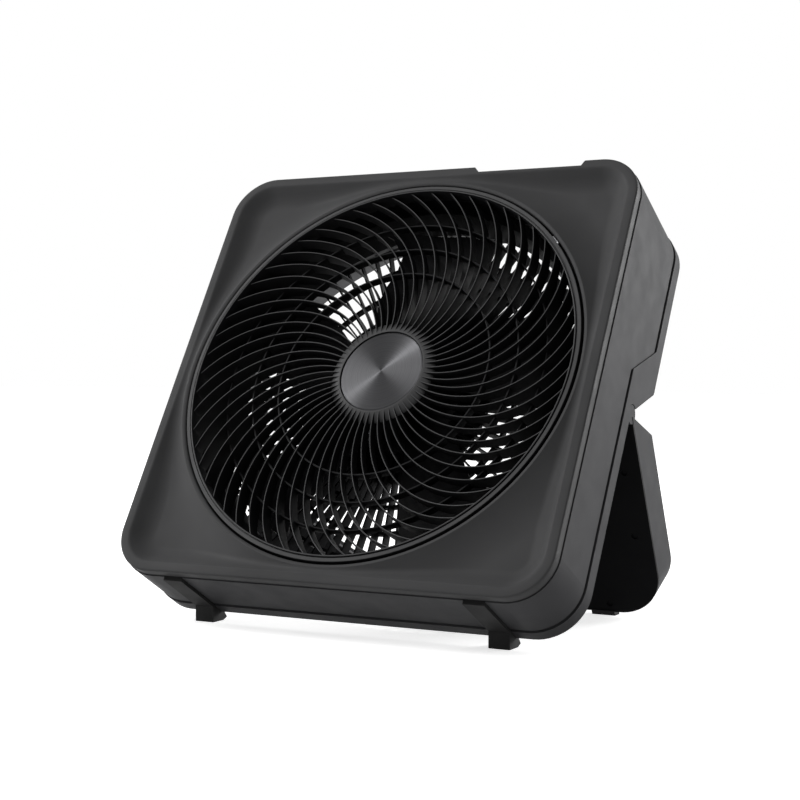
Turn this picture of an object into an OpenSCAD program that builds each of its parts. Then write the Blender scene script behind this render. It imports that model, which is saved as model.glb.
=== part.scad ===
// Pivoting box fan: a square, deep-moulded housing with a dished spiral grille, leaning back
// on a fold-out rear stand. All lengths are in millimetres. Every piece is drawn in the
// housing's own upright frame (X right, Y back from the bezel's front, Z up) and then leaned
// back into the stance it stands in. The stand is drawn folded and swung out about its pins.

/* [Stance] */
// lean of the housing back from the vertical
tilt = 30.7; // [0:0.1:45]
// how far the stand is swung out from folded
open_angle = 55.5; // [0:0.5:89]
// height of the foot blocks below the housing's rear lower edge
foot_h = 11.4; // [9:0.1:16]

/* [Housing] */
// half the width and height of the front bezel
front_half = 262.5; // [240:0.5:280]
// corner radius of the front bezel
front_corner = 50; // [30:1:70]
// how far the side shell stands outside the bezel
side_out = 1.3; // [0.5:0.1:4]
// how far the rear shell stands outside the side shell
rear_out = 1.4; // [1:0.1:4]
// depth of the bezel's outer lip
lip_depth = 12; // [8:1:20]
// depth of the thin lower half of the housing
thin_depth = 101.2; // [90:0.1:120]
// full depth, at the top and with the stand folded
full_depth = 153.2; // [130:0.1:170]
// wall thickness of the mouldings
wall = 3; // [2:0.5:4]
// visible gap between the side shell and the rear shell
seam_gap = 3; // [1:0.5:5]
// width of the rear shell's band behind the seam
rear_band = 17; // [10:1:30]
// height above the centre line where the seam turns back
seam_z = 40; // [20:1:60]
// inset of the bezel's corner screws from the side shell's faces
corner_inset = 35.8; // [33:0.1:40]
// inset of the rear shell's screws from the side shell's faces
boss_inset = 9.8; // [9:0.1:14]
// heights of the lower and upper rear screws
boss_low = -120; // [-170:1:-60]
boss_high = 150; // [120:1:190]

/* [Bezel dish] */
// width of the flat band round the front
band_w = 11; // [8:0.5:18]
// from the bezel's outer edge to the raised edge round the grille
crest_margin = 19.5; // [16:0.5:40]
// depth of the hollow between the raised edge and the band
dish_depth = 16; // [8:1:22]
// left and right ends of the notch in the top band, at its floor
notch_x0 = 63; // [30:1:100]
notch_x1 = 189; // [120:1:210]
// depth of the notch below the bezel's top
notch_drop = 7.7; // [4:0.1:9]

/* [Front grille] */
// clearance from the raised edge to the grille's rim
grille_inset = 5; // [4:0.1:12]
// width of the grille's rim
rim_w = 7.4; // [6:0.1:12]
// number of spiral ribs
ribs = 57; // [24:1:72]
// thickness of a rib
rib_t = 1.7; // [1:0.1:3]
// depth of the ribs' back edges
rib_back_y = 27; // [24:0.5:30]
// radius of the arc that each rib follows
rib_arc_r = 128; // [90:0.5:200]
// distance of that arc's centre from the fan's axis
rib_arc_off = 143.5; // [100:0.5:200]
// radii of the three tie rings behind the ribs
tie_r = 128.7; // [100:0.1:140]
tie_step = 33; // [20:0.5:40]
// radius of the centre boss
boss_r = 64; // [40:1:80]
// radius of the spun centre disc
disc_r = 50; // [30:1:70]

/* [Air path] */
// how far the duct's throat narrows from the grille's rim
throat_in = 6.6; // [4:0.1:14]
// how far the duct widens from its throat to the rear grille
inlet_out = 9; // [5:0.1:12]
// how far the inlet's straight outer part lies outside the rear shell
funnel_over = 6.8; // [3:0.1:14]
// insets from the rear shell's faces where the funnel steps out to it, there and in the stand
rear_step_in = 10.2; // [10:0.1:19]
stand_step_in = 17.7; // [17:0.1:23]
// thickness of the rear grille, front to back
rear_grille_t = 6.2; // [5:0.1:9]
// number of bars in the rear grille
rear_bars = 72; // [36:2:96]
// radius of the rear grille's first ring, the step to the next, and a ring's width
ring_first = 97.6; // [90:0.1:110]
ring_step = 32.3; // [24:0.1:40]
ring_w = 3.6; // [2:0.1:6]
// width of a bar, its angle at rest, and how far the bars stand in front of the rings
bar_w = 1.8; // [1.4:0.1:3]
bar_phase = 1; // [0:0.1:5]
bar_deep = 8; // [0:0.5:9]

/* [Impeller and motor] */
// number of blades
blades = 5; // [3:1:7]
// clearance round the blades' tips
tip_gap = 8; // [3:0.5:40]
// angle of the first blade at rest
blade_phase = 11.7; // [0:0.1:72]
// pitch of the blades
pitch = 25.9; // [5:0.1:50]
// tilt of the camber's axis, which changes the pitch towards the tips
blade_twist = 14.0; // [-10:0.1:40]
// room between the ribs' back edges and the blades
blade_room = 5.0; // [3:0.1:14]
// thickness of a blade
blade_t = 2.4; // [1.5:0.1:4]
// radius of a blade's camber
camber_r = 172; // [90:1:400]
// radius of the impeller's cup-shaped hub
cup_r = 54; // [40:1:60]
// depth and length of the cup
cup_y = 36; // [34:0.5:42]
cup_len = 48; // [36:0.5:50]
// depth of the blades' middle line
blade_y = 56.0; // [46:0.1:66]
// radius of the motor can
can_r = 46; // [40:0.5:48]
// depth of the motor can's front
motor_y = 60; // [56:0.5:66]
// length of the stator stack
stack_len = 38; // [20:1:42]
// radius of the rotor
rotor_r = 27.4; // [18:0.1:32]
// outer radius of the shaft bushes
bush_r = 10; // [8:0.1:13]
// distance of the motor's screws from the axis
motor_screw_r = 58; // [55:0.5:60]
// shaft radius
shaft_r = 4.95; // [3:0.05:6]

/* [Stand] */
// the stand's pins, behind the bezel's front and above the housing's centre line
pivot_y = 106; // [100:0.5:115]
pivot_z = -1; // [-20:0.5:20]
// radius of the stand's hinge barrels
barrel_r = 10.5; // [8:0.1:14]
// distance from the pins to the stand's lower edge
stand_len = 252; // [200:1:260]
// radius of the hinge pins
pin_r = 3; // [2:0.1:4]
// width of the lugs that carry the pins
lug_w = 6.5; // [4:0.5:8]
// centre and width of the stand's feet
foot_x = 192; // [150:1:205]
foot_w = 28; // [12:1:40]
// radius of the stand's screw wells
well_r = 3.9; // [3:0.1:5]
// distances from the pins to the stand's two pairs of side screws, and their inset
well_high = 69.5; // [60:0.5:80]
well_low = 149.5; // [130:0.5:170]
well_inset = 19.2; // [19:0.1:24]

/* [Controls and feet] */
// centre of the speed knob across and back
knob_x = 126; // [80:1:180]
knob_y = 36; // [26:1:44]
// radius of the speed knob
knob_r = 17; // [10:0.5:22]
// width, depth and height of the speed switch under it
switch_w = 34; // [24:1:40]
switch_l = 26; // [20:1:30]
switch_h = 20; // [14:1:24]
// width, depth and height of the motor's capacitor, and its inset from the top
cap_w = 30; // [20:1:34]
cap_l = 34; // [20:1:40]
cap_h = 50; // [30:1:56]
cap_inset = 63.8; // [60:0.1:80]
// distance of each skid from the centre line
skid_x = 182; // [120:1:220]
// width of a skid
skid_w = 24; // [12:1:40]
// how far a skid's strap stands out of the side shell
skid_t = 3.7; // [2:0.1:6]
// width of the hand recess in the top
handle_w = 136; // [100:1:160]
// front, back and depth of the hand recess
handle_y0 = 64; // [62:0.5:70]
handle_y1 = 91; // [86:0.5:91]
handle_deep = 27.8; // [20:0.1:28]
// inset of the cord inlet from the rear shell's faces
gland_inset = 39.2; // [36:0.1:44]
// radius of the cord inlet's neck
gland_r = 6.2; // [5:0.1:8]

/* [Hidden] */
fit = 0.05;                                   // running clearance of a shaft in its bore
gap = 0.3;                                    // clearance between seated mouldings
hinge_wall = 2.69;                            // the step's slope passes this far from the pins
lean = open_angle - tilt;                     // the open stand's lean from the vertical
side_half = front_half + side_out;            // half the width and height of the side shell
rear_half = side_half + rear_out;             // and of the rear shell
lift = thin_depth * sin(tilt) + (rear_half + foot_h) * cos(tilt);  // centre above the floor
crest_r = front_half - crest_margin;          // radius of the raised edge round the grille
grille_r = crest_r - grille_inset;            // outer and inner radius of the grille's rim
grille_in_r = grille_r - rim_w;
throat_r = grille_in_r - throat_in;           // inner radius of the duct's throat
inlet_r = throat_r + inlet_out;               // radius of the duct at the rear grille
funnel_r = rear_half + funnel_over;           // radius of the inlet's straight outer part
rear_step_r = rear_half - rear_step_in;       // where the funnel steps out, rear shell and stand
stand_step_r = rear_half - stand_step_in;
blade_r = throat_r - tip_gap;                 // tip radius
notch_z = front_half - notch_drop;            // floor height of the notch
notch_top = notch_z + 15.2;                   // clear above the housing's top
inner_half = front_half - band_w;             // inner edge of the flat band
inner_corner = front_corner - band_w;
seam_lo = thin_depth - rear_band;             // where the rear shell starts, lower half
seam_hi = full_depth - rear_band;             // and upper half
dish_mid = (crest_r + (inner_half - inner_corner) * sqrt(2) + inner_corner) / 2;
dish_chord = dish_mid - crest_r;              // half the width of the hollow on a diagonal
dish_arc = (pow(dish_chord, 2) + pow(dish_depth, 2)) / (2 * dish_depth);
rib_front = 16;                               // depth of the ribs' front edges at the boss
rib_rise = 13;                                // how far they rise towards the rim
rib_span = (grille_in_r + 1.4 - 56) / 8;      // step between the points of their outline
blade_front = rib_back_y + blade_room;        // front of the blades
grille_back = thin_depth - wall;              // back of the rear grille, on the rear shell
rear_grille_y = grille_back - rear_grille_t;  // and its front
inlet_rim = inlet_r + 7;                      // outer radius of the rear grille
bar_front = rear_grille_y - bar_deep;         // front of its bars
step_y = seam_hi + gap + wall;                // depth where the funnel steps out
rear_slope = (rear_step_r - inlet_r) / (step_y - grille_back);   // of the funnel's sides
stand_slope = (stand_step_r - inlet_r) / (pivot_y + 12.65 - grille_back);
step_z = pivot_z + hinge_wall * sqrt(2) - (pivot_y - thin_depth);   // where the rear steps out
stand_back = full_depth - 2.2;                // back of the folded stand
stand_front = pivot_y - wall;                 // front of the folded stand's plate
stand_top = pivot_z - 2.7;                    // its slanted top edge, at the pins' depth
stand_low = pivot_z - stand_len;              // its lower edge
corner_at = side_half - corner_inset;
boss_x = side_half - boss_inset;
lug_x = inlet_r + 1.5;                        // inner face of a hinge lug
barrel_x = lug_x + lug_w + 1.3;               // inner end of a hinge barrel
barrel_end = rear_half - 0.6;                 // its outer end
tray_back = knob_y + knob_r + 5;              // back of the control panel
knob_low = notch_z + 1.6;                     // underside of the knob
motor_tail = rear_grille_y + 20;              // where the motor can's back begins to round
shift_y = (front_half * sin(tilt) - full_depth * cos(tilt) - rear_half * sin(tilt)) / 2;
grey = [0.30, 0.30, 0.31];
dark = [0.10, 0.10, 0.11];
rubber = [0.06, 0.06, 0.06];
steel = [0.62, 0.63, 0.65];

// body Z of the floor under a point of the leaned housing, and the stand's reach to the floor
function floor_z(y) = (y * sin(tilt) - lift) / cos(tilt);
function floor_s(n) = (lift - pivot_y * sin(tilt) + pivot_z * cos(tilt) + n * sin(lean)) / cos(lean);
// depth of the ribs' front and back edges at a radius, and the funnel's radius at a depth
function rib_q(r) = pow(max(0, r - 62) / (grille_in_r - 62), 3);
function rib_y(r) = rib_front - rib_rise * rib_q(r);
function rib_back(r) = r < grille_in_r - 20 ? rib_back_y : 17;
function funnel_at(y, s) = inlet_r + (y - grille_back) * s;
function funnel_y(r, s) = grille_back + (r - inlet_r) / s;

// ---- placing ----
module stance() translate([0, shift_y, lift]) rotate([-tilt, 0, 0]) children();
module swung() stance() translate([0, pivot_y, pivot_z]) rotate([open_angle, 0, 0])
    translate([0, -pivot_y, -pivot_z]) children();
// 2-D (X, Z) shapes from depth y0 to y1; 2-D (Y, Z) shapes from x0 to x1; revolved (r, Y)
module slab(y0, y1) translate([0, y1, 0]) rotate([90, 0, 0]) linear_extrude(y1 - y0) children();
module across(x0, x1) translate([x0, 0, 0]) rotate([90, 0, 90]) linear_extrude(x1 - x0) children();
module turned() rotate([-90, 0, 0]) rotate_extrude($fn = 180) children();
module rod_y(x, z, r, y0, y1) translate([x, y0, z]) rotate([-90, 0, 0])
    cylinder(r = r, h = y1 - y0, $fn = 48);
module rod_x(y, z, r, x0, x1) translate([x0, y, z]) rotate([0, 90, 0])
    cylinder(r = r, h = x1 - x0, $fn = 48);
module both_sides() { children(); mirror([1, 0, 0]) children(); }

// ---- outlines ----
module rounded(h, r, low = 0) {
    z0 = low == 0 ? -h : low;
    difference() {
        translate([-h, z0]) square([2 * h, h - z0]);
        for (sx = [-1, 1], z = [z0, h]) translate([sx * h, z]) difference() {
            square(2 * r, center = true);
            translate([-sx * r, z == h ? -r : r]) circle(r, $fn = 96);
        }
    }
}
module side_profile(y0, lo, hi, up) polygon([[y0, -300], [lo, -300], [lo, up], [hi, up + hi - lo],
    [hi, 300], [y0, 300]]);

// ---- front bezel: flat band, hollow dished surround, raised edge round the grille ----
module dish_section(grow) intersection() {
    translate([dish_mid, dish_depth - dish_arc]) circle(dish_arc + grow, $fn = 180);
    translate([crest_r, -2]) square([120, 40]);
}
module dish_frustum(grow) {
    // a rounded square that narrows at 45 degrees going back, from planes and cones
    c = inner_half - inner_corner;
    d = 24;
    h = inner_half + grow;
    r = inner_corner + grow;
    for (sx = [-1, 1], sz = [-1, 1]) translate([sx * c, -2, sz * c]) rotate([-90, 0, 0])
        cylinder(r1 = r + 2, r2 = r - d + 2, h = d, $fn = 96);
    translate([0, 0, -c]) linear_extrude(2 * c)
        polygon([[-h - 2, -2], [h + 2, -2], [h + 2 - d, d - 2], [-h - 2 + d, d - 2]]);
    rotate([0, 90, 0]) translate([0, 0, -c]) linear_extrude(2 * c)
        polygon([[-h - 2, -2], [h + 2, -2], [h + 2 - d, d - 2], [-h - 2 + d, d - 2]]);
}
module dish(grow) intersection() {
    turned() dish_section(grow);
    dish_frustum(grow);
}
module front_bezel() color(grey) stance() difference() {
    union() {
        slab(0, lip_depth) rounded(front_half, front_corner);
        slab(lip_depth - 1, dish_depth + wall) rounded(side_half - wall - gap, front_corner - 2);
        for (sx = [-1, 1], sz = [-1, 1]) rod_y(sx * corner_at, sz * corner_at, 6, dish_depth, 26);
    }
    dish(0);
    difference() {
        slab(wall, dish_depth + wall + 1) difference() {
            rounded(side_half - wall - gap - 2.5, front_corner - 5);
            circle(crest_r + 0.6, $fn = 180);
            for (sx = [-1, 1], sz = [-1, 1]) translate([sx * corner_at, sz * corner_at]) circle(6, $fn = 48);
        }
        dish(wall);
    }
    slab(-1, 30) circle(grille_r + 2.4, $fn = 180);
    slab(-1, lip_depth + 0.6) polygon([[notch_x0 - 14, notch_top], [notch_x0, notch_z],
        [notch_x1, notch_z], [notch_x1 + 8, notch_top]]);
    slab(lip_depth, 30) translate([notch_x0 - 18, notch_z - 4.4]) square([notch_x1 - notch_x0 + 32, 20]);
    for (sx = [-1, 1], sz = [-1, 1]) rod_y(sx * corner_at, sz * corner_at, 1.5, 15, 27);
}

// ---- side shell: the deep tube between the bezel and the seam ----
module skid_shape(up, y1) slab(0, y1) translate([skid_x - skid_w / 2 - 0.15, -up - 20])
    square([skid_w + 0.3, 20]);
module tray_outline(grow) polygon([[notch_x0 - 14 - grow, notch_top],
    [notch_x0 - grow, notch_z - 0.5 - grow], [notch_x1 + grow, notch_z - 0.5 - grow],
    [notch_x1 + 8 + grow, notch_top]]);
module handle_outline(grow, deep) translate([-handle_w / 2 - grow, side_half - deep])
    square([handle_w + 2 * grow, 40]);
// screws that hold the rear shell: a length of rod ending a distance before its back plate
module rear_rod(r, y0, before) for (p = [[boss_low, thin_depth], [boss_high, full_depth]]) both_sides()
    rod_y(boss_x, p[0], r, p[1] - y0, p[1] - before);
module side_shell() color(grey) stance() difference() {
    union() {
        intersection() {
            slab(lip_depth + gap, seam_hi - seam_gap) difference() {
                rounded(side_half, front_corner + 1.3);
                rounded(side_half - wall, front_corner - 1.7);
            }
            across(-300, 300) side_profile(0, seam_lo - seam_gap, seam_hi - seam_gap, seam_z);
        }
        // tongue that carries the shell on under the seam, as far as the rear shell's step
        intersection() {
            difference() {
                slab(seam_lo - 16, seam_hi + 5) difference() {
                    rounded(side_half - wall + 0.5, front_corner - 1.2);
                    rounded(side_half - wall - 2, front_corner - 3.7);
                }
                turned() translate([0, seam_hi]) square([funnel_r + 3.4 + gap, 20]);
            }
            across(-300, 300) polygon([[seam_lo - 16, -300], [seam_lo + 5, -300], [seam_lo + 5, seam_z - 5],
                [seam_hi + 5, seam_z - 5 + seam_hi - seam_lo], [seam_hi + 5, 300], [seam_hi - 16, 300],
                [seam_hi - 16, seam_z + 10 + seam_hi - seam_lo], [seam_lo - 16, seam_z + 10]]);
        }
        // corner tabs that take the bezel's screws
        intersection() {
            slab(26, 29) difference() {
                rounded(side_half - 1, front_corner);
                circle(corner_at * sqrt(2) - 17.4, $fn = 120);
            }
            slab(20, 40) rounded(side_half - 1, front_corner);
        }
        // bosses for the rear shell's screws
        rear_rod(7.5, 36, wall);
    }
    slab(lip_depth, tray_back + gap) tray_outline(wall + gap);
    slab(handle_y0 - gap, handle_y1 + gap) handle_outline(gap, handle_deep);
    both_sides() skid_shape(side_half - 1.55, 140);
    for (sx = [-1, 1], sz = [-1, 1]) rod_y(sx * corner_at, sz * corner_at, 2, 20, 40);
    rear_rod(1.6, 40, 0);
}

// ---- rear shell: the rim behind the seam, stepping out to full depth above the pins ----
// the air inlet: a cone of slope s from depth y0 out to radius r1, then a straight step
module funnel(y0, r1, s) turned() polygon([[0, y0], [funnel_at(y0, s), y0], [r1, funnel_y(r1, s)],
    [funnel_r, funnel_y(r1, s)], [funnel_r, full_depth + 10], [0, full_depth + 10]]);
// its wall, left thick on the inside for the inlet to be cut from
module funnel_wall(y0, r1, s, y1) turned() polygon([[funnel_at(y0, s) - 1, y0],
    [r1 - 1, funnel_y(r1, s) + 1], [funnel_r - 1, funnel_y(r1, s) + 1], [funnel_r - 1, y1],
    [funnel_r + 3.4, y1], [funnel_r + 3.4, funnel_y(r1, s) - wall],
    [r1 + 3.4 - wall * s, funnel_y(r1, s) - wall], [funnel_at(y0, s) + 3.4, y0]]);
module rear_opening() {
    turned() translate([0, 80]) square([inlet_rim + gap, grille_back - 80]);
    intersection() {
        funnel(grille_back - 1, rear_step_r, rear_slope);
        slab(80, full_depth + 5) rounded(rear_half - 4, front_corner);
    }
}
module rear_shell() color(grey) stance() difference() {
    union() {
        difference() {
            union() {
                difference() {
                    intersection() {
                        slab(seam_lo, full_depth) rounded(rear_half, front_corner + 3);
                        across(-300, 300) difference() {
                            side_profile(seam_lo - 1, thin_depth, full_depth, step_z);
                            polygon([[seam_lo - 2, seam_z + seam_gap], [seam_lo, seam_z + seam_gap],
                                [seam_hi, seam_z + seam_gap + seam_hi - seam_lo],
                                [seam_hi, 300], [seam_lo - 2, 300]]);
                        }
                    }
                    intersection() {
                        slab(seam_lo - 5, full_depth - wall) rounded(rear_half - wall, front_corner);
                        across(-300, 300) side_profile(seam_lo - 6, thin_depth - wall, full_depth - wall,
                            step_z + wall * (sqrt(2) - 1));
                    }
                }
                // funnel that opens from the grille to full depth
                intersection() {
                    funnel_wall(grille_back, rear_step_r, rear_slope, full_depth);
                    slab(grille_back, full_depth) rounded(rear_half - 1, front_corner + 2);
                    across(-300, 300) side_profile(seam_lo, thin_depth, full_depth, step_z);
                }
                // pads behind the hinge pockets
                both_sides() translate([inlet_rim + gap, seam_lo + 6, pivot_z - 16])
                    cube([rear_half - 1 - inlet_rim - gap, thin_depth - seam_lo - 6, 34]);
            }
            rear_opening();
        }
        // lugs that carry the stand's pins
        intersection() {
            both_sides() rod_x(pivot_y, pivot_z, barrel_r - 1.5, lug_x, lug_x + lug_w);
            slab(grille_back, full_depth) square(600, center = true);
        }
    }
    both_sides() {
        rod_x(pivot_y, pivot_z, barrel_r + 0.8, lug_x + lug_w, 290);
        rod_x(pivot_y, pivot_z, pin_r, lug_x - 4, 250);
        skid_shape(rear_half - wall - 0.2, 140);
    }
    rear_rod(2, 20, -5);
    rear_rod(3.6, 1.4, -5);
    rod_y(rear_half - gland_inset, rear_half - gland_inset, gland_r + 0.1, 140, full_depth + 10);
}

// ---- front grille ----
module rib_arc() {
    // one rib: a thin slice of a tube, from inside the boss to inside the rim
    squares = pow(rib_arc_off, 2) + pow(rib_arc_r, 2);
    a0 = acos((squares - pow(boss_r - 5, 2)) / (2 * rib_arc_off * rib_arc_r));
    a1 = acos((squares - pow(grille_in_r + 1.5, 2)) / (2 * rib_arc_off * rib_arc_r));
    translate([rib_arc_off, 0]) rotate(180 + a0) rotate_extrude(angle = a1 - a0, $fn = 180)
        translate([rib_arc_r - rib_t / 2, 0]) square([rib_t, 40]);
}
module front_grille() color(dark) stance() {
    intersection() {
        rotate([-90, 0, 0]) for (k = [0:ribs - 1]) rotate(-61.2 + k * 360 / ribs) mirror([0, 1, 0]) rib_arc();
        turned() polygon([for (i = [0:8]) let (r = 56 + i * rib_span) [r, rib_y(r)],
            for (i = [8:-1:0]) let (r = 56 + i * rib_span) [r, rib_back(r)]]);
    }
    for (r = [tie_r, tie_r + tie_step, tie_r + 2 * tie_step])
        turned() translate([r - 1, 17]) square([2, rib_back(r) - 17.4]);
    turned() polygon([[0, 19.5], [disc_r + 0.3, 19.5], [disc_r + 0.3, 16], [disc_r + 3, 16],
        [boss_r, 20], [boss_r, 27], [0, 27]]);
    turned() polygon([[grille_in_r, 0], [grille_in_r + 0.5, -0.5], [grille_in_r + 1.5, -0.5],
        [grille_in_r + 2, 0],
        [grille_in_r + 2, 2], [grille_in_r + 3, 2], [grille_in_r + 3, 0.5], [grille_r, 0.5], [grille_r, 18.5],
        [grille_in_r, 18.5]]);
}
module hub_disc() color(steel) stance() turned() polygon([[0, 16.4], [disc_r - 4, 16.8], [disc_r - 0.6, 17.2],
    [disc_r, 17.8], [disc_r, 19.5], [0, 19.5]]);

// ---- duct and rear grille ----
module duct_ring() color(dark) stance() turned() polygon([[grille_r - 7, 18.5], [throat_r + 2, 30],
    [throat_r, 36], [throat_r, 80], [inlet_r - 3, rear_grille_y - 0.2], [inlet_r, rear_grille_y - 0.2],
    [throat_r + 2.6, 80],
    [throat_r + 2.6, 36], [throat_r + 5, 31.5], [grille_r - 4, 22], [crest_r + 5, 22], [crest_r + 5, 19.2],
    [grille_r + 2, 19.2], [grille_r + 2, 18.5]]);
module rear_grille() color(dark) stance() {
    for (k = [0:rear_bars - 1]) rotate([0, (k + 0.5) * 360 / rear_bars + bar_phase, 0])
        translate([0, 0, -bar_w / 2]) linear_extrude(bar_w) polygon([
            [motor_screw_r + 8, bar_front], [throat_r - 2, bar_front], [throat_r - 2, rear_grille_y + 0.6],
            [inlet_r, rear_grille_y + 0.6], [inlet_r, grille_back - 1.2], [motor_screw_r + 8, grille_back - 1.2]]);
    for (r = [ring_first:ring_step:inlet_r - 20])
        turned() translate([r - ring_w / 2, rear_grille_y]) square([ring_w, rear_grille_t]);
    turned() translate([inlet_r - 1, rear_grille_y]) square([8, rear_grille_t]);
    difference() {
        turned() translate([can_r + gap, rear_grille_y]) square([ring_first - can_r - gap, rear_grille_t]);
        motor_screw_at() rod_y(0, 0, 2, 80, 110);
    }
}

// ---- motor ----
module motor_screw_at() for (a = [45:90:315]) rotate([0, a, 0]) translate([motor_screw_r, 0, 0]) children();
module motor_can() color(steel) stance() difference() {
    turned() polygon([[can_r - 2.5, motor_y], [can_r, motor_y], [can_r, rear_grille_y - 3.4],
        [motor_screw_r + 6, rear_grille_y - 3.4], [motor_screw_r + 6, rear_grille_y], [can_r, rear_grille_y],
        [can_r, motor_tail], [can_r - 8, motor_tail + 8], [bush_r + 6, motor_tail + 10],
        [bush_r + 3, motor_tail + 14], [0, motor_tail + 14], [0, motor_tail + 11.5],
        [6.5, motor_tail + 11.5], [bush_r, motor_tail + 9], [bush_r, motor_tail - 4],
        [bush_r + 4, motor_tail - 4], [bush_r + 4, motor_tail + 7], [can_r - 9.5, motor_tail + 5.5],
        [can_r - 2.5, motor_tail - 1]]);
    motor_screw_at() rod_y(0, 0, 2, 70, 110);
}
module motor_cap() color(steel) stance() turned() polygon([[bush_r, motor_y - 10], [bush_r + 4, motor_y - 10],
    [bush_r + 4, motor_y - 6], [can_r - 6, motor_y - 6], [can_r, motor_y - 2], [can_r, motor_y],
    [can_r - 4, motor_y], [can_r - 7, motor_y - 3], [bush_r + 4, motor_y - 3], [bush_r + 4, motor_y + 1],
    [bush_r, motor_y + 1]]);
module motor_stator() color([0.45, 0.30, 0.20]) stance() turned() translate([rotor_r + 0.6, motor_y + 6])
    square([can_r - 2.6 - rotor_r - 0.6, stack_len]);
module bush(y0, y1) turned() translate([shaft_r + fit, y0]) square([bush_r - 0.02 - shaft_r - fit, y1 - y0]);
module bearing_front() color(steel) stance() bush(motor_y - 9, motor_y);
module bearing_rear() color(steel) stance() bush(motor_tail - 3, motor_tail + 5);
module motor_screws() color(steel) stance() motor_screw_at() {
    rod_y(0, 0, 2, rear_grille_y - 3.5, grille_back - 1);
    rod_y(0, 0, 4, rear_grille_y - 6, rear_grille_y - 3.4);
}
module motor_shaft() color(steel) stance() turned() translate([0, cup_y - 5.5])
    square([shaft_r, motor_tail + 12 - cup_y]);
module motor_rotor() color([0.5, 0.5, 0.5]) stance() turned() translate([shaft_r, motor_y + 6])
    square([rotor_r - shaft_r, stack_len]);

// ---- impeller: a cup over the motor and five tapering, cambered blades ----
// outline points: share of the way from the cup's wall to past the tip, and angle
function blade_point(p) = let (r = cup_r - 4 + (blade_r - cup_r + 18) * p[0] / 180)
    [r * cos(p[1]), r * sin(p[1])];
module blade_plan() polygon([
    for (p = [[0, -2.6], [20, -7.8], [40, -11.5], [60, -14], [82, -15.4],
              [104, -15.7], [126, -15.2], [148, -13.9], [166, -12.6], [180, -11.4]])
        blade_point(p),
    for (p = [[180, 36.6], [166, 27.4], [148, 20.4], [126, 17.7], [104, 19.5],
              [82, 23.8], [60, 28.5], [40, 31.4], [20, 31.5], [0, 27.2]])
        blade_point(p)]);
module blade() intersection() {
    slab(blade_front, bar_front - 3) blade_plan();
    translate([cup_r, blade_y - camber_r * cos(pitch), 8 - camber_r * sin(pitch)])
        rotate([0, 90 - blade_twist, 0]) translate([0, 0, -cup_r - 80]) difference() {
            cylinder(r = camber_r + blade_t / 2, h = blade_r + 260, $fn = 180);
            translate([0, 0, -1]) cylinder(r = camber_r - blade_t / 2, h = blade_r + 262, $fn = 180);
        }
    rotate([-90, 0, 0]) difference() {
        cylinder(r = blade_r, h = 100, $fn = 180);
        translate([0, 0, -1]) cylinder(r = cup_r - 2.5, h = 102, $fn = 120);
    }
}
module impeller() color([0.07, 0.07, 0.08]) stance() {
    for (k = [0:blades - 1]) rotate([0, -blade_phase - k * 360 / blades, 0]) blade();
    turned() polygon([[shaft_r, cup_y], [cup_r - 4, cup_y], [cup_r, cup_y + 4], [cup_r, cup_y + cup_len],
        [cup_r - 3, cup_y + cup_len], [cup_r - 3, cup_y + 5], [cup_r - 5, cup_y + 3], [shaft_r + 7, cup_y + 3],
        [shaft_r + 7, cup_y + 12.5], [shaft_r, cup_y + 12.5]]);
}
module impeller_nut() color(steel) stance() difference() {
    translate([0, cup_y - 5, 0]) rotate([-90, 0, 0]) cylinder(r = shaft_r + 4, h = 5, $fn = 6);
    rod_y(0, 0, shaft_r, cup_y - 10, cup_y + 10);
}

// ---- controls on top, behind the bezel's notch ----
module knob_rod(r, z0, z1) translate([knob_x, knob_y, z0]) cylinder(r = r, h = z1 - z0, $fn = 48);
module control_panel() color(dark) stance() difference() {
    slab(lip_depth + gap, tray_back) intersection() {
        tray_outline(wall);
        translate([notch_x0 - 30, notch_z - 20])
            square([notch_x1 - notch_x0 + 60, side_half - notch_z + 20]);
    }
    slab(0, tray_back - wall) tray_outline(0);
    knob_rod(5.2, notch_z - 15, notch_z + 25);
}
module speed_switch() color([0.16, 0.16, 0.17]) stance() difference() {
    union() {
        translate([knob_x - switch_w / 2, knob_y - switch_l / 2, notch_z - wall - 0.5 - switch_h])
            cube([switch_w, switch_l, switch_h]);
        knob_rod(5, notch_z - 10, notch_z + 1);
    }
    knob_rod(3 + fit, notch_z - 18.8, notch_z + 5);
}
module knob_spindle() color(steel) stance() knob_rod(3, notch_z - 17.8, notch_z + 9);
module speed_knob() color(dark) stance() difference() {
    union() {
        translate([knob_x, knob_y, knob_low]) cylinder(r = knob_r, h = 3, $fn = 96);
        translate([knob_x, knob_y, knob_low + 3]) cylinder(r1 = knob_r - 2, r2 = knob_r - 4, h = 6.4, $fn = 96);
        translate([knob_x - 2, knob_y - knob_r + 5, knob_low + 3]) cube([4, knob_r - 5, 7.4]);
    }
    knob_rod(3, notch_z - 5, notch_z + 9);
}
module run_capacitor() color([0.75, 0.75, 0.72]) stance()
    translate([side_half - wall - cap_w, 32, side_half - cap_inset - cap_h]) cube([cap_w, cap_l, cap_h]);
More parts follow.
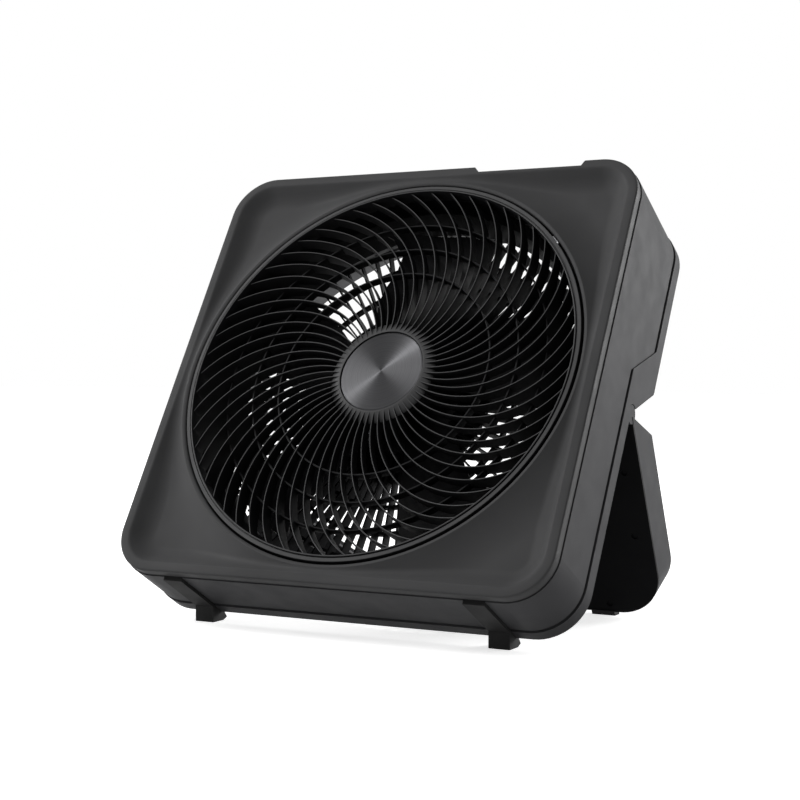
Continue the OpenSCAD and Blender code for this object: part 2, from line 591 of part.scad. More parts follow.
// a pocket in the top; the fingers hook under the lip along its front
module carry_handle() color(dark) stance() difference() {
    slab(handle_y0, handle_y1) intersection() {
        handle_outline(0, handle_deep);
        translate([-handle_w, side_half - handle_deep - 5]) square([2 * handle_w, handle_deep + 5]);
    }
    slab(handle_y0 + 2.5, handle_y1 - 2.5) translate([-handle_w / 2 + 2.5, side_half - handle_deep + 2.5])
        square([handle_w - 5, handle_deep - 2.5 - wall]);
    slab(handle_y0 + 7, handle_y1 - 2.5) translate([-handle_w / 2 + 2.5, side_half - 10])
        square([handle_w - 5, 20]);
}
module cord_gland() color(rubber) stance() difference() {
    at = rear_half - gland_inset;
    union() {
        rod_y(at, at, gland_r + 2.8, full_depth, full_depth + 4);
        rod_y(at, at, gland_r, full_depth - wall - 3, full_depth + 1);
        rod_y(at, at, gland_r + 2.3, full_depth - wall - 3, full_depth - wall);
    }
    rod_y(at, at, gland_r - 2.6, full_depth - 20, full_depth + 20);
}

// ---- skids under the housing: a strap in a groove and a foot block behind it ----
module skid() {
    top = side_half - 1.5;
    low = side_half + skid_t;
    slab(lip_depth + 1, thin_depth - 1) translate([skid_x - skid_w / 2, -low]) square([skid_w, low - top]);
    across(skid_x - skid_w / 2, skid_x + skid_w / 2) polygon([[thin_depth - 21, -top], [thin_depth - 19, -low],
        [thin_depth - 10, floor_z(thin_depth - 10)], [thin_depth + 7, floor_z(thin_depth + 7)],
        [thin_depth + 11, -low + 0.5], [thin_depth + 11, -low + 1.5], [thin_depth + 0.6, -top]]);
}
module skid_right() color(rubber) stance() skid();
module skid_left() color(rubber) stance() mirror([1, 0, 0]) skid();

// ---- fasteners of the housing ----
module bezel_screws() color(steel) stance() for (sx = [-1, 1], sz = [-1, 1]) {
    rod_y(sx * corner_at, sz * corner_at, 1.5, dish_depth + 2, dish_depth + 13.5);
    rod_y(sx * corner_at, sz * corner_at, 3.4, dish_depth + 13, dish_depth + 15.5);
}
module rear_screws() color(steel) stance() {
    rear_rod(1.6, 30, 1);
    rear_rod(3.5, 1.4, 0);
}
// springs between the front grille's rim and the bezel
module grille_clips() color(steel) stance() for (a = [45:90:315]) rotate([-90, 0, 0])
    rotate(a) rotate_extrude(angle = 3, $fn = 180) translate([grille_r + 0.05, dish_depth - 3])
        square([2.3, 4]);

// ---- stand, drawn folded ----
module hinge_pin() rod_x(pivot_y, pivot_z, pin_r, lug_x + 1.5, barrel_end - 2.6);
module hinge_pin_right() color(steel) stance() hinge_pin();
module hinge_pin_left() color(steel) stance() mirror([1, 0, 0]) hinge_pin();
module hinge_washers() color(rubber) swung() both_sides() difference() {
    rod_x(pivot_y, pivot_z, barrel_r - 2, barrel_x - 1.1, barrel_x);
    rod_x(pivot_y, pivot_z, pin_r + gap, barrel_x - 5, barrel_x + 5);
}
module stand_side(y0, y1, up) polygon([[y0, -300], [y1, -300], [y1, up - (y1 - pivot_y)],
    [y0, up - (y0 - pivot_y)]]);
module stand_screw_at() for (p = [[rear_half - well_inset, well_high], [rear_half - well_inset, well_low],
    [rear_half - 63.2, stand_len - 11]]) both_sides() translate([p[0], 0, pivot_z - p[1]]) children();
module stand_opening() intersection() {
    funnel(90, stand_step_r, stand_slope);
    slab(90, full_depth + 5) rounded(rear_half - 4, front_corner, stand_low + 4);
}
module stand_plate() color(dark) swung() difference() {
    intersection() {
        slab(stand_front, pivot_y) rounded(rear_half, front_corner + 3, stand_low);
        across(-300, 300) stand_side(stand_front, pivot_y, stand_top);
    }
    stand_opening();
    stand_screw_at() rod_y(0, 0, well_r, pivot_y - 20, pivot_y + 20);
    both_sides() rod_x(pivot_y, pivot_z, barrel_r + 0.4, lug_x - 4, 290);
}
module stand_shell() color(grey) swung() difference() {
    union() {
        difference() {
            union() {
                difference() {
                    intersection() {
                        slab(pivot_y, stand_back) rounded(rear_half, front_corner + 3, stand_low);
                        across(-300, 300) stand_side(pivot_y, stand_back, stand_top);
                    }
                    intersection() {
                        slab(pivot_y - 1, stand_back - wall) rounded(rear_half - wall, front_corner,
                            stand_low + wall);
                        across(-300, 300) stand_side(pivot_y - 1, stand_back - wall,
                            stand_top - wall * sqrt(2));
                    }
                }
                intersection() {
                    funnel_wall(pivot_y, stand_step_r, stand_slope, stand_back);
                    slab(pivot_y, stand_back) rounded(rear_half - 1, front_corner + 2, stand_low + 1);
                    across(-300, 300) stand_side(pivot_y, stand_back, stand_top);
                }
                stand_screw_at() rod_y(0, 0, 4.5, pivot_y, stand_back - 1);
            }
            stand_opening();
            both_sides() rod_x(pivot_y, pivot_z, barrel_r - 1, lug_x - 4, barrel_x);
        }
        both_sides() {
            rod_x(pivot_y, pivot_z, barrel_r, barrel_x, barrel_end);
            across(barrel_x, barrel_end) polygon([[pivot_y, pivot_z], [pivot_y, pivot_z - 23],
                [pivot_y + 12, pivot_z - 23], [pivot_y + 8, pivot_z - 13]]);
        }
    }
    both_sides() rod_x(pivot_y, pivot_z, pin_r + fit, lug_x - 4, barrel_end - 1.6);
    stand_screw_at() rod_y(0, 0, 1.5, pivot_y - 6, pivot_y + 11);
}
module stand_screws() color(steel) swung() stand_screw_at() {
    rod_y(0, 0, well_r - 0.3, pivot_y - 1.6, pivot_y);
    rod_y(0, 0, 1.5, pivot_y - 1, pivot_y + 10);
}
module stand_foot() across(foot_x - foot_w / 2, foot_x + foot_w / 2) polygon([
    [stand_front - 1, stand_low + 1.5], [stand_front - 1, pivot_z - floor_s(-4)],
    [pivot_y + 8, pivot_z - floor_s(8)], [pivot_y + 14, stand_low], [stand_front, stand_low],
    [stand_front, stand_low + 1.5]]);
module stand_foot_right() color(rubber) swung() stand_foot();
module stand_foot_left() color(rubber) swung() mirror([1, 0, 0]) stand_foot();

front_bezel();
side_shell();
rear_shell();
front_grille();
hub_disc();
duct_ring();
rear_grille();
motor_can();
motor_cap();
motor_stator();
bearing_front();
bearing_rear();
motor_screws();
control_panel();
speed_switch();
run_capacitor();
carry_handle();
cord_gland();
skid_left();
skid_right();
hinge_pin_left();
hinge_pin_right();
bezel_screws();
rear_screws();
grille_clips();
motor_shaft();
motor_rotor();
impeller();
impeller_nut();
speed_knob();
knob_spindle();
stand_plate();
stand_shell();
stand_foot_left();
stand_foot_right();
stand_screws();
hinge_washers();
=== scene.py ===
import math

import bmesh
import bpy
import numpy as np
from mathutils import Matrix, Vector


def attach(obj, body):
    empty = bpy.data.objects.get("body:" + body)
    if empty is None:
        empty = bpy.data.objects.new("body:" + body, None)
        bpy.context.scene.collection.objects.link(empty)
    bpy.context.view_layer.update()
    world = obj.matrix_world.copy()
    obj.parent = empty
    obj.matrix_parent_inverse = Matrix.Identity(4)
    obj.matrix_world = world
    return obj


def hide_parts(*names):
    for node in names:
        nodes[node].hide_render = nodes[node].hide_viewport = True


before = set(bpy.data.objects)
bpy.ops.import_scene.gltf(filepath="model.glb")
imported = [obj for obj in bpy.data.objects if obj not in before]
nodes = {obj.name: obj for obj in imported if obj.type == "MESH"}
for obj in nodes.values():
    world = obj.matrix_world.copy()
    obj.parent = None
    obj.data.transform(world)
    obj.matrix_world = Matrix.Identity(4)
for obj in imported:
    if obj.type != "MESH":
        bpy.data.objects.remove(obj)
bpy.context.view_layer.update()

# ---- the housing's own frame: X right, Y back from the front face, Z up, in millimetres ----
TILT = math.radians(30.7)
SHIFT_Y, LIFT = -66.5539, 289.502
COS_T, SIN_T = math.cos(TILT), math.sin(TILT)

# Front bezel: half widths and corner radii of its face, of the dish's outer edge and of its back
FRONT_HALF, FRONT_CORNER, BAND_W = 262.5, 50.0, 11.0
INNER_HALF, INNER_CORNER = FRONT_HALF - BAND_W, FRONT_CORNER - BAND_W
BACK_HALF, BACK_CORNER = 260.5, FRONT_CORNER - 2
LIP_DEPTH, BACK_DEPTH = 12.0, 19.0
# Its round opening, the soft crest round that, and the arc and the blend of the dished surround
HOLE_R, CREST_R, CREST_W, WALL_FRONT = 240.4, 243.0, 1.4, 3.4
DISH_DEPTH, DISH_ARC_R, DISH_BOTTOM_R, DISH_BLEND, BAND_ROUND = 16.0, 80.8, 291.26, 9.0, 1.4
BEZEL_POINTS = 960

# Front grille: ribs as arcs of RIB_ARC_R whose centres lie RIB_ARC_OFF from the axis
RIBS, RIB_ARC_R, RIB_ARC_OFF, RIB_T, RIB_LEAD = 57, 128.0, 143.5, 1.7, 61.2
RIB_FRONT, RIB_RISE, RISE_FROM_R = 16, 13, 62
RIB_BACK, RIM_BACK, BACK_STEP_R = 27, 17, 210.0
TIE_RADII, TIE_BACK = (128.7, 161.7, 194.6), 26.6
GUARD_IN_R, GUARD_R, BOSS_R, DISC_R = 230.6, 238.0, 64.0, 50.0
RIB_START_R, RIB_END_R = DISC_R + 1.6, GUARD_IN_R + 1.4
DISC_PLANE = 0.018


def placed(points):
    """Housing millimetres to the scene's metres."""
    x, y, z = np.asarray(points, float).T
    return np.c_[x, SHIFT_Y + y * COS_T + z * SIN_T, LIFT - y * SIN_T + z * COS_T] / 1000


HOUSING = Matrix.Translation(Vector((0, SHIFT_Y, LIFT)) / 1000) @ Matrix.Rotation(-TILT, 4, "X")


# ---- materials ----
CLOUD_SPREAD, GLOSS_SPREAD, GRAIN_DEPTH = 0.10, 0.06, 0.0002


def new_shader(name):
    """A node material, with its tree and its Principled shader."""
    mat = bpy.data.materials.new(name)
    mat.use_nodes = True
    return mat, mat.node_tree, mat.node_tree.nodes["Principled BSDF"]


def blended(tree, factor, first, second):
    """A colour that runs from the first to the second with the factor."""
    mix = tree.nodes.new("ShaderNodeMix")
    mix.data_type = "RGBA"
    mix.inputs["A"].default_value = (*first, 1)
    mix.inputs["B"].default_value = (*second, 1)
    tree.links.new(factor, mix.inputs["Factor"])
    return mix.outputs["Result"]


def add_bump(tree, bsdf, height, strength, distance):
    relief = tree.nodes.new("ShaderNodeBump")
    relief.inputs["Strength"].default_value = strength
    relief.inputs["Distance"].default_value = distance
    tree.links.new(height, relief.inputs["Height"])
    tree.links.new(relief.outputs["Normal"], bsdf.inputs["Normal"])


def shader(name, base, rough, grain=1400, bump=0.05, metallic=0.0, specular=0.5):
    """A moulded or painted surface: faint colour clouds, fine grain in bump, uneven gloss."""
    mat, tree, bsdf = new_shader(name)
    bsdf.inputs["Metallic"].default_value = metallic
    bsdf.inputs["Specular IOR Level"].default_value = specular
    coord = tree.nodes.new("ShaderNodeTexCoord")

    def noise(scale, detail):
        n = tree.nodes.new("ShaderNodeTexNoise")
        n.inputs["Scale"].default_value = scale
        n.inputs["Detail"].default_value = detail
        tree.links.new(coord.outputs["Object"], n.inputs["Vector"])
        return n.outputs["Fac"]

    def remap(value, low, high):
        m = tree.nodes.new("ShaderNodeMapRange")
        m.inputs["From Min"].default_value = 0.3
        m.inputs["From Max"].default_value = 0.7
        m.inputs["To Min"].default_value = low
        m.inputs["To Max"].default_value = high
        tree.links.new(value, m.inputs["Value"])
        return m.outputs["Result"]

    clouds = blended(tree, remap(noise(9, 3), 0, 1), [c * (1 - CLOUD_SPREAD) for c in base],
                     [c * (1 + CLOUD_SPREAD) for c in base])
    tree.links.new(clouds, bsdf.inputs["Base Color"])
    gloss = remap(noise(38, 2), rough - GLOSS_SPREAD, rough + GLOSS_SPREAD)
    tree.links.new(gloss, bsdf.inputs["Roughness"])
    add_bump(tree, bsdf, noise(grain, 1), bump, GRAIN_DEPTH)
    return mat


CHARCOAL = shader("charcoal_moulding", (0.054, 0.054, 0.055), 0.50, specular=0.04, bump=0.10)
CHARCOAL_SIDE = shader("charcoal_side", (0.048, 0.048, 0.050), 0.46, specular=0.02, bump=0.06)
BLACK = shader("black_moulding", (0.0055, 0.0055, 0.006), 0.55, specular=0.03, bump=0.06)
GUARD = shader("guard_moulding", (0.006, 0.006, 0.0065), 0.45, specular=0.05)
# painted highlight: a lit, paler copy of the guard's black for the front edges of the grille
GUARD_PAINTED_HIGHLIGHT = shader("guard_painted_highlight", (0.048, 0.048, 0.049), 0.45, specular=0.10)
BLADE = shader("blade_moulding", (0.006, 0.006, 0.0065), 0.40, specular=0.06, bump=0.04)
RUBBER = shader("skid_rubber", (0.0060, 0.0060, 0.0060), 0.70, specular=0.15, bump=0.25, grain=900)
STEEL = shader("zinc_steel", (0.50, 0.50, 0.52), 0.35, metallic=1.0, bump=0.03)
PAINT = shader("motor_paint", (0.018, 0.018, 0.019), 0.35, bump=0.12, grain=600)
IRON = shader("varnished_iron", (0.22, 0.19, 0.17), 0.5, metallic=0.6, bump=0.15)
BRONZE = shader("oiled_bronze", (0.45, 0.30, 0.14), 0.42, metallic=1.0, bump=0.10)
CASE = shader("capacitor_case", (0.45, 0.45, 0.43), 0.4)
WASHER = shader("washer_nylon", (0.05, 0.05, 0.05), 0.5)


def spun_metal():
    """Dark anodised disc, turned in fine rings round its own Z axis."""
    mat, tree, bsdf = new_shader("spun_disc")
    bsdf.inputs["Metallic"].default_value = 1.0
    bsdf.inputs["Roughness"].default_value = 0.30
    bsdf.inputs["Anisotropic"].default_value = 0.97
    bsdf.inputs["Anisotropic Rotation"].default_value = 0.25
    tangent = tree.nodes.new("ShaderNodeTangent")
    tangent.direction_type = "RADIAL"
    tangent.axis = "Z"
    tree.links.new(tangent.outputs["Tangent"], bsdf.inputs["Tangent"])
    coord = tree.nodes.new("ShaderNodeTexCoord")
    flat = tree.nodes.new("ShaderNodeVectorMath")
    flat.operation = "MULTIPLY"
    flat.inputs[1].default_value = (1, 1, 0)
    tree.links.new(coord.outputs["Object"], flat.inputs[0])
    radius = tree.nodes.new("ShaderNodeVectorMath")
    radius.operation = "LENGTH"
    tree.links.new(flat.outputs["Vector"], radius.inputs[0])
    rings = tree.nodes.new("ShaderNodeTexNoise")
    rings.noise_dimensions = "1D"
    rings.inputs["Scale"].default_value = 900
    rings.inputs["Detail"].default_value = 2
    tree.links.new(radius.outputs["Value"], rings.inputs["W"])
    colour = blended(tree, rings.outputs["Fac"], (0.022, 0.022, 0.023), (0.045, 0.045, 0.047))
    tree.links.new(colour, bsdf.inputs["Base Color"])
    add_bump(tree, bsdf, rings.outputs["Fac"], 0.25, 0.00008)
    return mat


SPUN = spun_metal()


def paint(obj, mat):
    obj.data.materials.clear()
    obj.data.materials.append(mat)


# ---- meshes ----
def linked(name, data):
    """A new object of the scene that holds this data."""
    obj = bpy.data.objects.new(name, data)
    bpy.context.scene.collection.objects.link(obj)
    return obj


def mesh_object(name, verts, faces):
    mesh = bpy.data.meshes.new(name)
    mesh.from_pydata(verts, [], faces)
    return linked(name, mesh)


def outward(mesh):
    bm = bmesh.new()
    bm.from_mesh(mesh)
    bmesh.ops.recalc_face_normals(bm, faces=bm.faces)
    bm.to_mesh(mesh)
    bm.free()


def solid(name, verts, faces):
    """A closed mesh in housing millimetres, put into the scene but not yet a piece."""
    obj = mesh_object(name, placed(verts).tolist(), faces)
    outward(obj.data)
    return obj


def smooth_by_angle(mesh, degrees):
    mesh.polygons.foreach_set("use_smooth", [True] * len(mesh.polygons))
    bm = bmesh.new()
    bm.from_mesh(mesh)
    limit = math.radians(degrees)
    for edge in bm.edges:
        edge.smooth = len(edge.link_faces) == 2 and edge.calc_face_angle(0.0) < limit
    bm.to_mesh(mesh)
    bm.free()


def finish_piece(obj, body, mat, replaced, angle):
    paint(obj, mat)
    smooth_by_angle(obj.data, angle)
    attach(obj, body)
    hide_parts(*replaced)


def combined(base, operation, *others):
    """Applies a boolean with each other object in turn, and removes them."""
    for other in others:
        mod = base.modifiers.new("bool", "BOOLEAN")
        mod.operation = operation
        mod.solver = "MANIFOLD"
        mod.object = other
        bpy.context.view_layer.update()
        depsgraph = bpy.context.evaluated_depsgraph_get()
        mesh = bpy.data.meshes.new_from_object(base.evaluated_get(depsgraph))
        base.modifiers.clear()
        old = base.data
        base.data = mesh
        bpy.data.meshes.remove(old)
        bpy.data.objects.remove(other)


def full_turn(count):
    return np.linspace(0, 2 * math.pi, count, endpoint=False)


def ring_grid(rows, wrap_rows=False):
    """Vertices and faces of a grid whose rows are closed loops of equal length."""
    n = len(rows[0])
    faces = []
    for i in range(len(rows) if wrap_rows else len(rows) - 1):
        a, b = i * n, ((i + 1) % len(rows)) * n
        for j in range(n):
            k = (j + 1) % n
            faces.append((a + j, a + k, b + k, b + j))
    return np.concatenate(rows), faces


def lathe(profile, count=240):
    """An (r, Y) profile turned round the fan's axis, in housing millimetres.

    It closes on itself, or on the axis where its first and last points are at r = 0."""
    angles = full_turn(count)
    on_axis = profile[0][0] == 0
    rows = [np.c_[r * np.cos(angles), np.full(count, y), r * np.sin(angles)]
            for r, y in (profile[1:-1] if on_axis else profile)]
    verts, faces = ring_grid(rows, wrap_rows=not on_axis)
    if on_axis:
        n, last = len(verts), len(verts) - count
        verts = np.concatenate([verts, [(0, profile[0][1], 0), (0, profile[-1][1], 0)]])
        for j in range(count):
            k = (j + 1) % count
            faces += [(n, k, j), (n + 1, last + j, last + k)]
    return verts, faces


def prism(outline, y0, y1):
    """A closed prism of an (X, Z) outline between two depths."""
    n = len(outline)
    verts = [(x, y, z) for y in (y0, y1) for x, z in outline]
    faces = [tuple(range(n)), tuple(range(2 * n - 1, n - 1, -1))]
    faces += [(i, i + n, (i + 1) % n + n, (i + 1) % n) for i in range(n)]
    return verts, faces


def round_square_reach(angles, half, corner):
    """Distance from the centre to a rounded square's edge, along each angle."""
    c, s = np.abs(np.cos(angles)), np.abs(np.sin(angles))
    big, small = np.maximum(c, s), np.minimum(c, s)
    flat = half / big
    k = half - corner
    along = k * (c + s)
    turn = along + np.sqrt(np.maximum(0, along ** 2 - 2 * k * k + corner ** 2))
    return np.where(flat * small <= k, flat, turn)


def round_square_depth(x, z, half, corner):
    """Distance inside a rounded square's edge."""
    qx, qz = np.abs(x) - (half - corner), np.abs(z) - (half - corner)
    outside = np.hypot(np.maximum(qx, 0), np.maximum(qz, 0))
    return corner - outside - np.minimum(np.maximum(qx, qz), 0)


# ---- front bezel: flat band, dished surround with a soft crest round the opening ----
def smooth_min(a, b, k):
    h = np.clip(0.5 + 0.5 * (b - a) / k, 0, 1)
    return b * (1 - h) + a * h - k * h * (1 - h)


def fillet(d, f):
    """A 45 degree slope that leaves the flat band through a rounded edge."""
    return np.where(d < -f, 0, np.where(d > f, d, (d + f) ** 2 / (4 * f)))


def dish_depth(r, d):
    """Depth of the dish at a radius, and at a distance inside the band's inner edge."""
    drop = np.sqrt(np.maximum(0, DISH_ARC_R ** 2 - (r - DISH_BOTTOM_R) ** 2))
    arc = DISH_DEPTH - DISH_ARC_R + drop
    bowl = np.where(r > DISH_BOTTOM_R, DISH_DEPTH, arc)
    return smooth_min(bowl, fillet(d, BAND_ROUND), DISH_BLEND)


def front_bezel():
    angles = full_turn(BEZEL_POINTS)
    c, s = np.cos(angles), np.sin(angles)
    rows = []

    def row(reach, depth):
        reach, depth = np.broadcast_to(reach, angles.shape), np.broadcast_to(depth, angles.shape)
        rows.append(np.c_[reach * c, depth, reach * s])

    def square_row(half, corner, depth):
        row(round_square_reach(angles, half, corner), depth)

    # wall of the round opening, then its crest
    for y in (BACK_DEPTH - 0.1, 12.0, 6.0, WALL_FRONT):
        row(HOLE_R, y)
    crest_top_r = CREST_R + CREST_W
    in_from_band = round_square_depth(CREST_R * c, CREST_R * s, INNER_HALF, INNER_CORNER) - CREST_W
    top = dish_depth(np.full(BEZEL_POINTS, crest_top_r), in_from_band)
    for part in np.linspace(0.12, 1, 8):
        turn = part * math.pi / 2
        row(HOLE_R + (crest_top_r - HOLE_R) * (1 - math.cos(turn)),
            WALL_FRONT + (top - WALL_FRONT) * math.sin(turn))
    # the dish, out to just past the band's inner edge
    dish_edge = round_square_reach(angles, INNER_HALF, INNER_CORNER) + 2.0
    for t in np.linspace(0, 1, 58)[1:]:
        r = crest_top_r + (dish_edge - crest_top_r) * t
        row(r, dish_depth(r, round_square_depth(r * c, r * s, INNER_HALF, INNER_CORNER)))
    # the flat band, its rounded outer edge and the lip
    square_row(INNER_HALF + 5, INNER_CORNER + 5, 0)
    for inset, y in ((2.2, 0.0), (1.45, 0.14), (0.75, 0.52), (0.26, 1.1), (0.0, 2.0), (0, 7.0),
                     (0, LIP_DEPTH - 0.4), (0.4, LIP_DEPTH)):
        square_row(FRONT_HALF - inset, FRONT_CORNER - inset, y)
    square_row(BACK_HALF, BACK_CORNER, LIP_DEPTH)
    square_row(BACK_HALF, BACK_CORNER, BACK_DEPTH - 0.1)
    bezel = solid("bezel_moulding", *ring_grid(rows, wrap_rows=True))
    notch = [(49.0, 270.2), (63.0, 254.8), (189.0, 254.8), (197.0, 270.2)]
    room_behind = [(45.0, 250.4), (203.0, 250.4), (203.0, 271), (45.0, 271)]
    combined(bezel, "DIFFERENCE", solid("notch", *prism(notch, -1.0, LIP_DEPTH + 0.6)),
             solid("room_behind", *prism(room_behind, LIP_DEPTH, 30.0)))
    finish_piece(bezel, "housing", CHARCOAL, ["front_bezel"], 32)


# ---- front grille ----
def rib_front(r):
    """Depth of the ribs' front edges, which rise towards the rim."""
    return RIB_FRONT - RIB_RISE * (np.maximum(0, r - RISE_FROM_R) / (GUARD_IN_R - RISE_FROM_R)) ** 3


def ribs():
    """The curved ribs, each a thin bar with a rounded front edge."""
    steps = 46
    squares = RIB_ARC_OFF ** 2 + RIB_ARC_R ** 2
    ends = [math.acos((squares - r * r) / (2 * RIB_ARC_OFF * RIB_ARC_R)) for r in (RIB_START_R, RIB_END_R)]
    turn = np.linspace(*ends, steps)
    middle = np.c_[RIB_ARC_OFF - RIB_ARC_R * np.cos(turn), RIB_ARC_R * np.sin(turn)]
    across = np.c_[-np.cos(turn), np.sin(turn)]
    r = np.hypot(*middle.T)
    front, back = rib_front(r), np.interp(r, [BACK_STEP_R, RIB_END_R], [RIB_BACK, RIM_BACK])
    # across the bar, and depth behind its front edge, with None for the back
    h = RIB_T / 2
    half = [(h, None), (h, 3.0), (h - 0.18, 0.7), (h - 0.30, 0.25), (h - 0.50, 0.02)]
    section = [(-u, v) for u, v in half] + half[::-1]
    m = len(section)
    verts, faces = [], []
    for lead in math.radians(RIB_LEAD) + full_turn(RIBS):
        base = len(verts)
        for i in range(steps):
            for u, v in section:
                x, z = middle[i] + across[i] * u
                angle, reach = lead - math.atan2(z, x), math.hypot(x, z)
                verts.append((reach * math.cos(angle), back[i] if v is None else front[i] + v,
                              reach * math.sin(angle)))
        for i in range(base, base + (steps - 1) * m, m):
            faces += [(i + j, i + (j + 1) % m, i + m + (j + 1) % m, i + m + j) for j in range(m)]
        faces.append(tuple(range(base, base + m)))
        faces.append(tuple(range(base + steps * m - 1, base + (steps - 1) * m - 1, -1)))
    return solid("guard_ribs", verts, faces)


def rounded_ring(r0, r1, y0, y1, f=0.45):
    """Profile of a ring with a rounded front."""
    return [(r0, y1), (r0, y0 + f), (r0 + 0.3 * f, y0 + 0.3 * f), (r0 + f, y0), (r1 - f, y0),
            (r1 - 0.3 * f, y0 + 0.3 * f), (r1, y0 + f), (r1, y1)]


def front_grille():
    guard = ribs()
    ties = [solid("tie", *lathe(rounded_ring(r - 1, r + 1, RIM_BACK, TIE_BACK))) for r in TIE_RADII]
    boss = solid("boss", *lathe([
        (0, 19.45), (DISC_R + 0.3, 19.45), (DISC_R + 0.3, 16.5), (DISC_R + 0.8, 16.05),
        (DISC_R + 1.8, 16.0), (DISC_R + 2.6, 16.2), (DISC_R + 5, 16.9), (BOSS_R - 3, 19.2),
        (BOSS_R - 0.6, 20.8), (BOSS_R, 21.8), (BOSS_R, RIB_BACK - 0.4), (BOSS_R - 0.6, RIB_BACK),
        (0, RIB_BACK)], 480))
    rim = solid("rim", *lathe([
        (GUARD_IN_R, 18.3), (GUARD_IN_R, 0.6), (GUARD_IN_R + 0.25, -0.1), (GUARD_IN_R + 0.75, -0.45),
        (GUARD_IN_R + 1.25, -0.45), (GUARD_IN_R + 1.75, -0.1), (GUARD_IN_R + 2, 0.6),
        (GUARD_IN_R + 2, 2.0), (GUARD_IN_R + 3, 2.0), (GUARD_IN_R + 3, 1.0), (GUARD_IN_R + 3.4, 0.6),
        (GUARD_R - 0.5, 0.6), (GUARD_R - 0.1, 1.0), (GUARD_R, 1.6), (GUARD_R, 18.0),
        (GUARD_R - 0.4, 18.4)], 720))
    combined(guard, "UNION", *ties, boss, rim)
    finish_piece(guard, "housing", GUARD, ["front_grille"], 35)
    paint_highlit_edges(guard.data)


def paint_highlit_edges(mesh):
    """Paints the front edges of the ribs and the rim, and the boss's collar, in a paler copy of the
    guard's black. This is a painted highlight where the front light catches them, while their shaded sides
    keep the dark guard colour.
    """
    mesh.materials.append(GUARD_PAINTED_HIGHLIGHT)
    count = len(mesh.polygons)
    centre, normal = np.zeros(count * 3), np.zeros(count * 3)
    mesh.polygons.foreach_get("center", centre)
    mesh.polygons.foreach_get("normal", normal)
    centre, normal = centre.reshape(-1, 3) * 1000 - (0, SHIFT_Y, LIFT), normal.reshape(-1, 3)
    depth = centre[:, 1] * COS_T - centre[:, 2] * SIN_T
    reach = np.hypot(centre[:, 0], centre[:, 1] * SIN_T + centre[:, 2] * COS_T)
    forward = normal[:, 2] * SIN_T - normal[:, 1] * COS_T > 0.35
    collar = (reach < BOSS_R) & (depth < 22)
    edge = depth < np.where(reach > GUARD_IN_R, 3, rib_front(reach) + 1.2)
    # painted highlight: the forward-facing faces at the front edges and on the collar take the paler, lit
    # colour
    painted_highlight = forward & (reach > DISC_R + 1) & (collar | edge)
    mesh.polygons.foreach_set("material_index", painted_highlight.astype(np.int32))


# ---- hub disc: thin turned metal, whose own Z is the fan's axis, for the turned finish ----
def hub_disc():
    profile = [(0, 1.95), (DISC_R - 0.4, 1.95), (DISC_R, 1.6), (DISC_R, -0.1), (DISC_R - 0.25, -0.55),
               (DISC_R - 0.9, -0.85)]
    profile += [(r, -0.9 - 0.6 * (1 - r / DISC_R) ** 1.2) for r in np.linspace(DISC_R - 1.6, 0, 50)]
    verts, faces = lathe(profile, 360)
    disc = mesh_object("hub_disc_turned", [(x / 1000, z / 1000, -y / 1000) for x, y, z in verts], faces)
    outward(disc.data)
    upright = Matrix.Translation((0, DISC_PLANE, 0)) @ Matrix.Rotation(math.radians(90), 4, "X")
    disc.matrix_world = HOUSING @ upright
    finish_piece(disc, "housing", SPUN, ["hub_disc"], 35)


front_bezel()
front_grille()
hub_disc()

# ---- CAD nodes that keep their own shape ----
LOOKS = {
    "side_shell": CHARCOAL_SIDE, "rear_shell": CHARCOAL_SIDE, "stand_shell": CHARCOAL_SIDE,
    "stand_plate": BLACK, "duct_ring": BLACK, "rear_grille": BLACK, "control_panel": BLACK,
    "carry_handle": BLACK, "speed_knob": BLACK, "impeller": BLADE, "cord_gland": RUBBER,
    "skid_left": RUBBER, "skid_right": RUBBER, "stand_foot_left": RUBBER, "stand_foot_right": RUBBER,
    "motor_can": PAINT, "motor_cap": PAINT, "motor_stator": IRON, "motor_rotor": IRON,
    "bearing_front": BRONZE, "bearing_rear": BRONZE, "speed_switch": CASE, "run_capacitor": CASE,
    "hinge_washers": WASHER, "stand_screws": BLACK,
}
for name, obj in nodes.items():
    if obj.visible_get() or name in LOOKS:
        paint(obj, LOOKS.get(name, STEEL))


def aim(obj, direction):
    obj.rotation_euler = Vector(direction).to_track_quat("-Z", "Y").to_euler()


# ---- camera at the photograph's angle ----
camera = linked("camera", bpy.data.cameras.new("camera"))
camera.data.lens = 73.2
camera.data.sensor_width = 36
camera.data.clip_start = 0.05
camera.location = (0.8822, -1.6193, 0.2926)
aim(camera, (-0.4803, 0.8768, -0.0244))
bpy.context.scene.camera = camera

# ---- floor, backdrop and lights ----
FLOOR_SIZE = 12.0
FLOOR_LIFT, LIFT_FROM, LIFT_TO = 0.72, 0.35, 1.4
AMBIENT = 0.03
LAMP_AIM = Vector((0, 0, 0.3))
LAMPS = {  # place, side length and power
    "key": ((0.1, -2.0, 2.7), 1.3, 25),
    "streak": ((-0.75, -0.79, 2.6), 0.16, 12),
    "left": ((-3.0, -0.3, 1.2), 1.3, 34),
    "left_low": ((-2.6, -1.6, 0.3), 1.3, 18),
    "left_high": ((-2.2, -1.2, 2.2), 1.3, 42),
    "side": ((1.9, 2.2, 0.9), 1.3, 105),
}


def shown_directly(tree):
    """1 for camera, glossy and transmission rays, else 0."""
    path = tree.nodes.new("ShaderNodeLightPath")
    total = path.outputs["Is Camera Ray"]
    for ray in ("Is Glossy Ray", "Is Transmission Ray"):
        either = tree.nodes.new("ShaderNodeMath")
        either.operation = "MAXIMUM"
        tree.links.new(total, either.inputs[0])
        tree.links.new(path.outputs[ray], either.inputs[1])
        total = either.outputs[0]
    return total


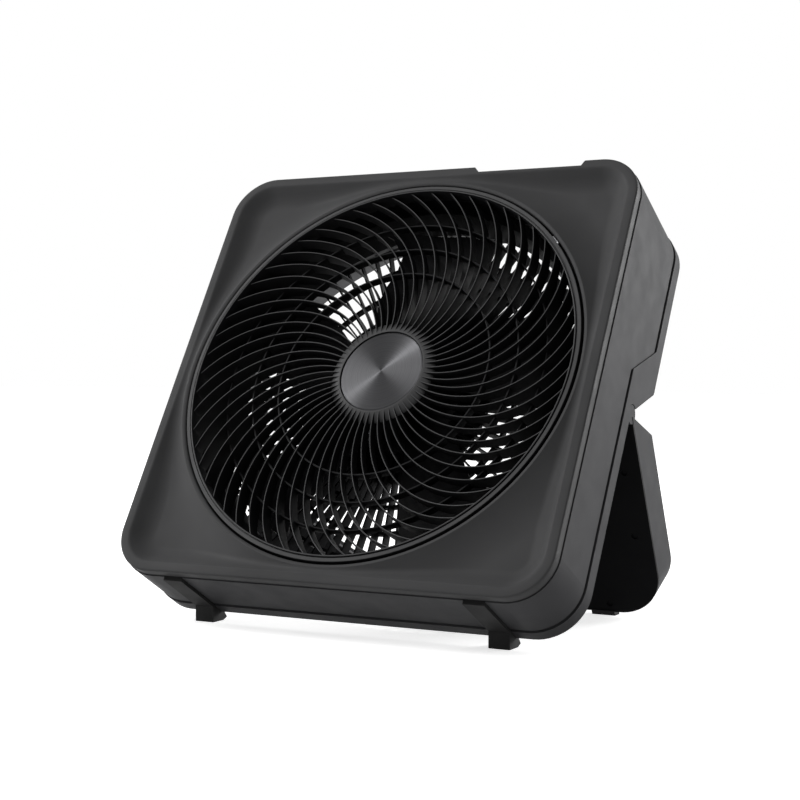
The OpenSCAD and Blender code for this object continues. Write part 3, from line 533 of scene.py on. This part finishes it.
def floor_material():
    """Pale matt floor that keeps the object's shadow, lifted to white where it is seen or reflected."""
    mat, tree, bsdf = new_shader("studio_floor")
    bsdf.inputs["Base Color"].default_value = (0.82, 0.82, 0.82, 1)
    bsdf.inputs["Roughness"].default_value = 0.9
    bsdf.inputs["Specular IOR Level"].default_value = 0.1
    bsdf.inputs["Emission Color"].default_value = (1, 1, 1, 1)
    coord = tree.nodes.new("ShaderNodeTexCoord")
    far = tree.nodes.new("ShaderNodeVectorMath")
    far.operation = "LENGTH"
    tree.links.new(coord.outputs["Object"], far.inputs[0])
    ramp = tree.nodes.new("ShaderNodeMapRange")
    ramp.interpolation_type = "SMOOTHSTEP"
    ramp.inputs["From Min"].default_value = LIFT_FROM
    ramp.inputs["From Max"].default_value = LIFT_TO
    ramp.inputs["To Min"].default_value = FLOOR_LIFT
    tree.links.new(far.outputs["Value"], ramp.inputs["Value"])
    seen = tree.nodes.new("ShaderNodeMath")
    seen.operation = "MULTIPLY"
    tree.links.new(shown_directly(tree), seen.inputs[0])
    tree.links.new(ramp.outputs["Result"], seen.inputs[1])
    tree.links.new(seen.outputs[0], bsdf.inputs["Emission Strength"])
    return mat


def studio_floor():
    corners = [(x * FLOOR_SIZE, y * FLOOR_SIZE, 0) for x, y in ((-1, -1), (1, -1), (1, 1), (-1, 1))]
    obj = mesh_object("floor", corners, [(0, 1, 2, 3)])
    paint(obj, floor_material())


def studio_world():
    """Even dim light from all round, and white where it is seen or reflected."""
    world = bpy.data.worlds.new("studio")
    bpy.context.scene.world = world
    world.use_nodes = True
    tree = world.node_tree
    tree.nodes.clear()
    dim = tree.nodes.new("ShaderNodeBackground")
    dim.inputs["Color"].default_value = (1, 1, 1, 1)
    dim.inputs["Strength"].default_value = AMBIENT
    white = tree.nodes.new("ShaderNodeBackground")
    white.inputs["Color"].default_value = (1, 1, 1, 1)
    mix = tree.nodes.new("ShaderNodeMixShader")
    tree.links.new(shown_directly(tree), mix.inputs["Fac"])
    tree.links.new(dim.outputs[0], mix.inputs[1])
    tree.links.new(white.outputs[0], mix.inputs[2])
    out = tree.nodes.new("ShaderNodeOutputWorld")
    tree.links.new(mix.outputs[0], out.inputs["Surface"])


def softbox(name, place, side, power):
    lamp = linked(name, bpy.data.lights.new(name, "AREA"))
    lamp.data.shape = "RECTANGLE"
    lamp.data.size = lamp.data.size_y = side
    lamp.data.energy = power
    lamp.location = place
    aim(lamp, LAMP_AIM - Vector(place))


studio_floor()
studio_world()
for name, (place, side, power) in LAMPS.items():
    softbox(name, place, side, power)

bpy.context.scene.view_settings.view_transform = "Standard"
